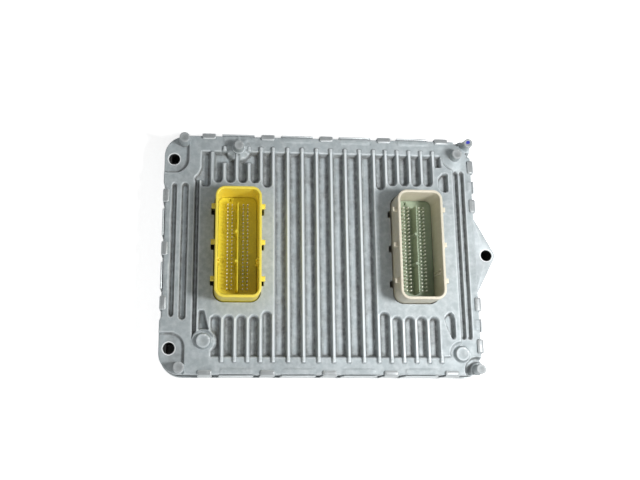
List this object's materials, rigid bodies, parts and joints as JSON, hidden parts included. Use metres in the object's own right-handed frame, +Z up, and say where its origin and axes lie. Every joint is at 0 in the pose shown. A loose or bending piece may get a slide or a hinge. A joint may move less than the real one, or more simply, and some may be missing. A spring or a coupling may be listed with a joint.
{
  "type": "engine control unit",
  "caption": "Flat sealed control box with a finned die-cast lid crimped into a pressed tray, two tall plug headers with pin fields, corner lugs and a side mounting ear.",
  "frame": {"origin": "middle of the tray's flat underside, in the mounting plane", "axes": "+X along the body, from the end with two corner lugs towards the mounting ear; +Y across it; +Z up through the lid, towards the plug headers"},
  "size_m": [0.2073, 0.15, 0.042],
  "materials": {
    "cast_aluminium": "as cast, satin",
    "pressed_aluminium": "rolled sheet, satin",
    "yellow_plastic": "moulded, satin",
    "grey_plastic": "moulded, satin",
    "yellow_contact_field": "moulded, with tinned pins",
    "grey_contact_field": "moulded, with tinned pins",
    "silicone_rubber": "matte",
    "board_laminate": "solder resist, semi-gloss",
    "black_epoxy": "moulded, matte",
    "dark_ferrite": "pressed, matte",
    "bright_can": "drawn, bright",
    "zinc_plated_steel": "zinc plated",
    "thermal_silicone": "soft, matte"
  },
  "bodies": {
    "root": {"housing_lid": "cast_aluminium", "base_tray": "pressed_aluminium", "housing_seal": "silicone_rubber", "yellow_header": "yellow_plastic", "grey_header": "grey_plastic", "yellow_contacts": "yellow_contact_field", "grey_contacts": "grey_contact_field", "yellow_header_seal": "silicone_rubber", "grey_header_seal": "silicone_rubber", "circuit_board": "board_laminate", "microcontroller": "black_epoxy", "memory_chip": "black_epoxy", "bus_transceiver": "black_epoxy", "clock_crystal": "zinc_plated_steel", "injector_driver": "black_epoxy", "ignition_driver": "black_epoxy", "throttle_driver": "black_epoxy", "power_supply_chip": "black_epoxy", "injector_driver_thermal_pad": "thermal_silicone", "ignition_driver_thermal_pad": "thermal_silicone", "throttle_driver_thermal_pad": "thermal_silicone", "power_supply_chip_thermal_pad": "thermal_silicone", "power_transistor_1": "black_epoxy", "power_transistor_2": "black_epoxy", "power_transistor_3": "black_epoxy", "smoothing_capacitor_1": "bright_can", "smoothing_capacitor_2": "bright_can", "smoothing_capacitor_3": "bright_can", "smoothing_capacitor_4": "bright_can", "smoothing_capacitor_5": "bright_can", "smoothing_capacitor_6": "bright_can", "supply_inductor_1": "dark_ferrite", "supply_inductor_2": "dark_ferrite", "board_screw_1": "zinc_plated_steel", "board_screw_2": "zinc_plated_steel", "board_screw_3": "zinc_plated_steel", "board_screw_4": "zinc_plated_steel", "board_screw_5": "zinc_plated_steel", "board_screw_6": "zinc_plated_steel"}
  },
  "joints": []
}
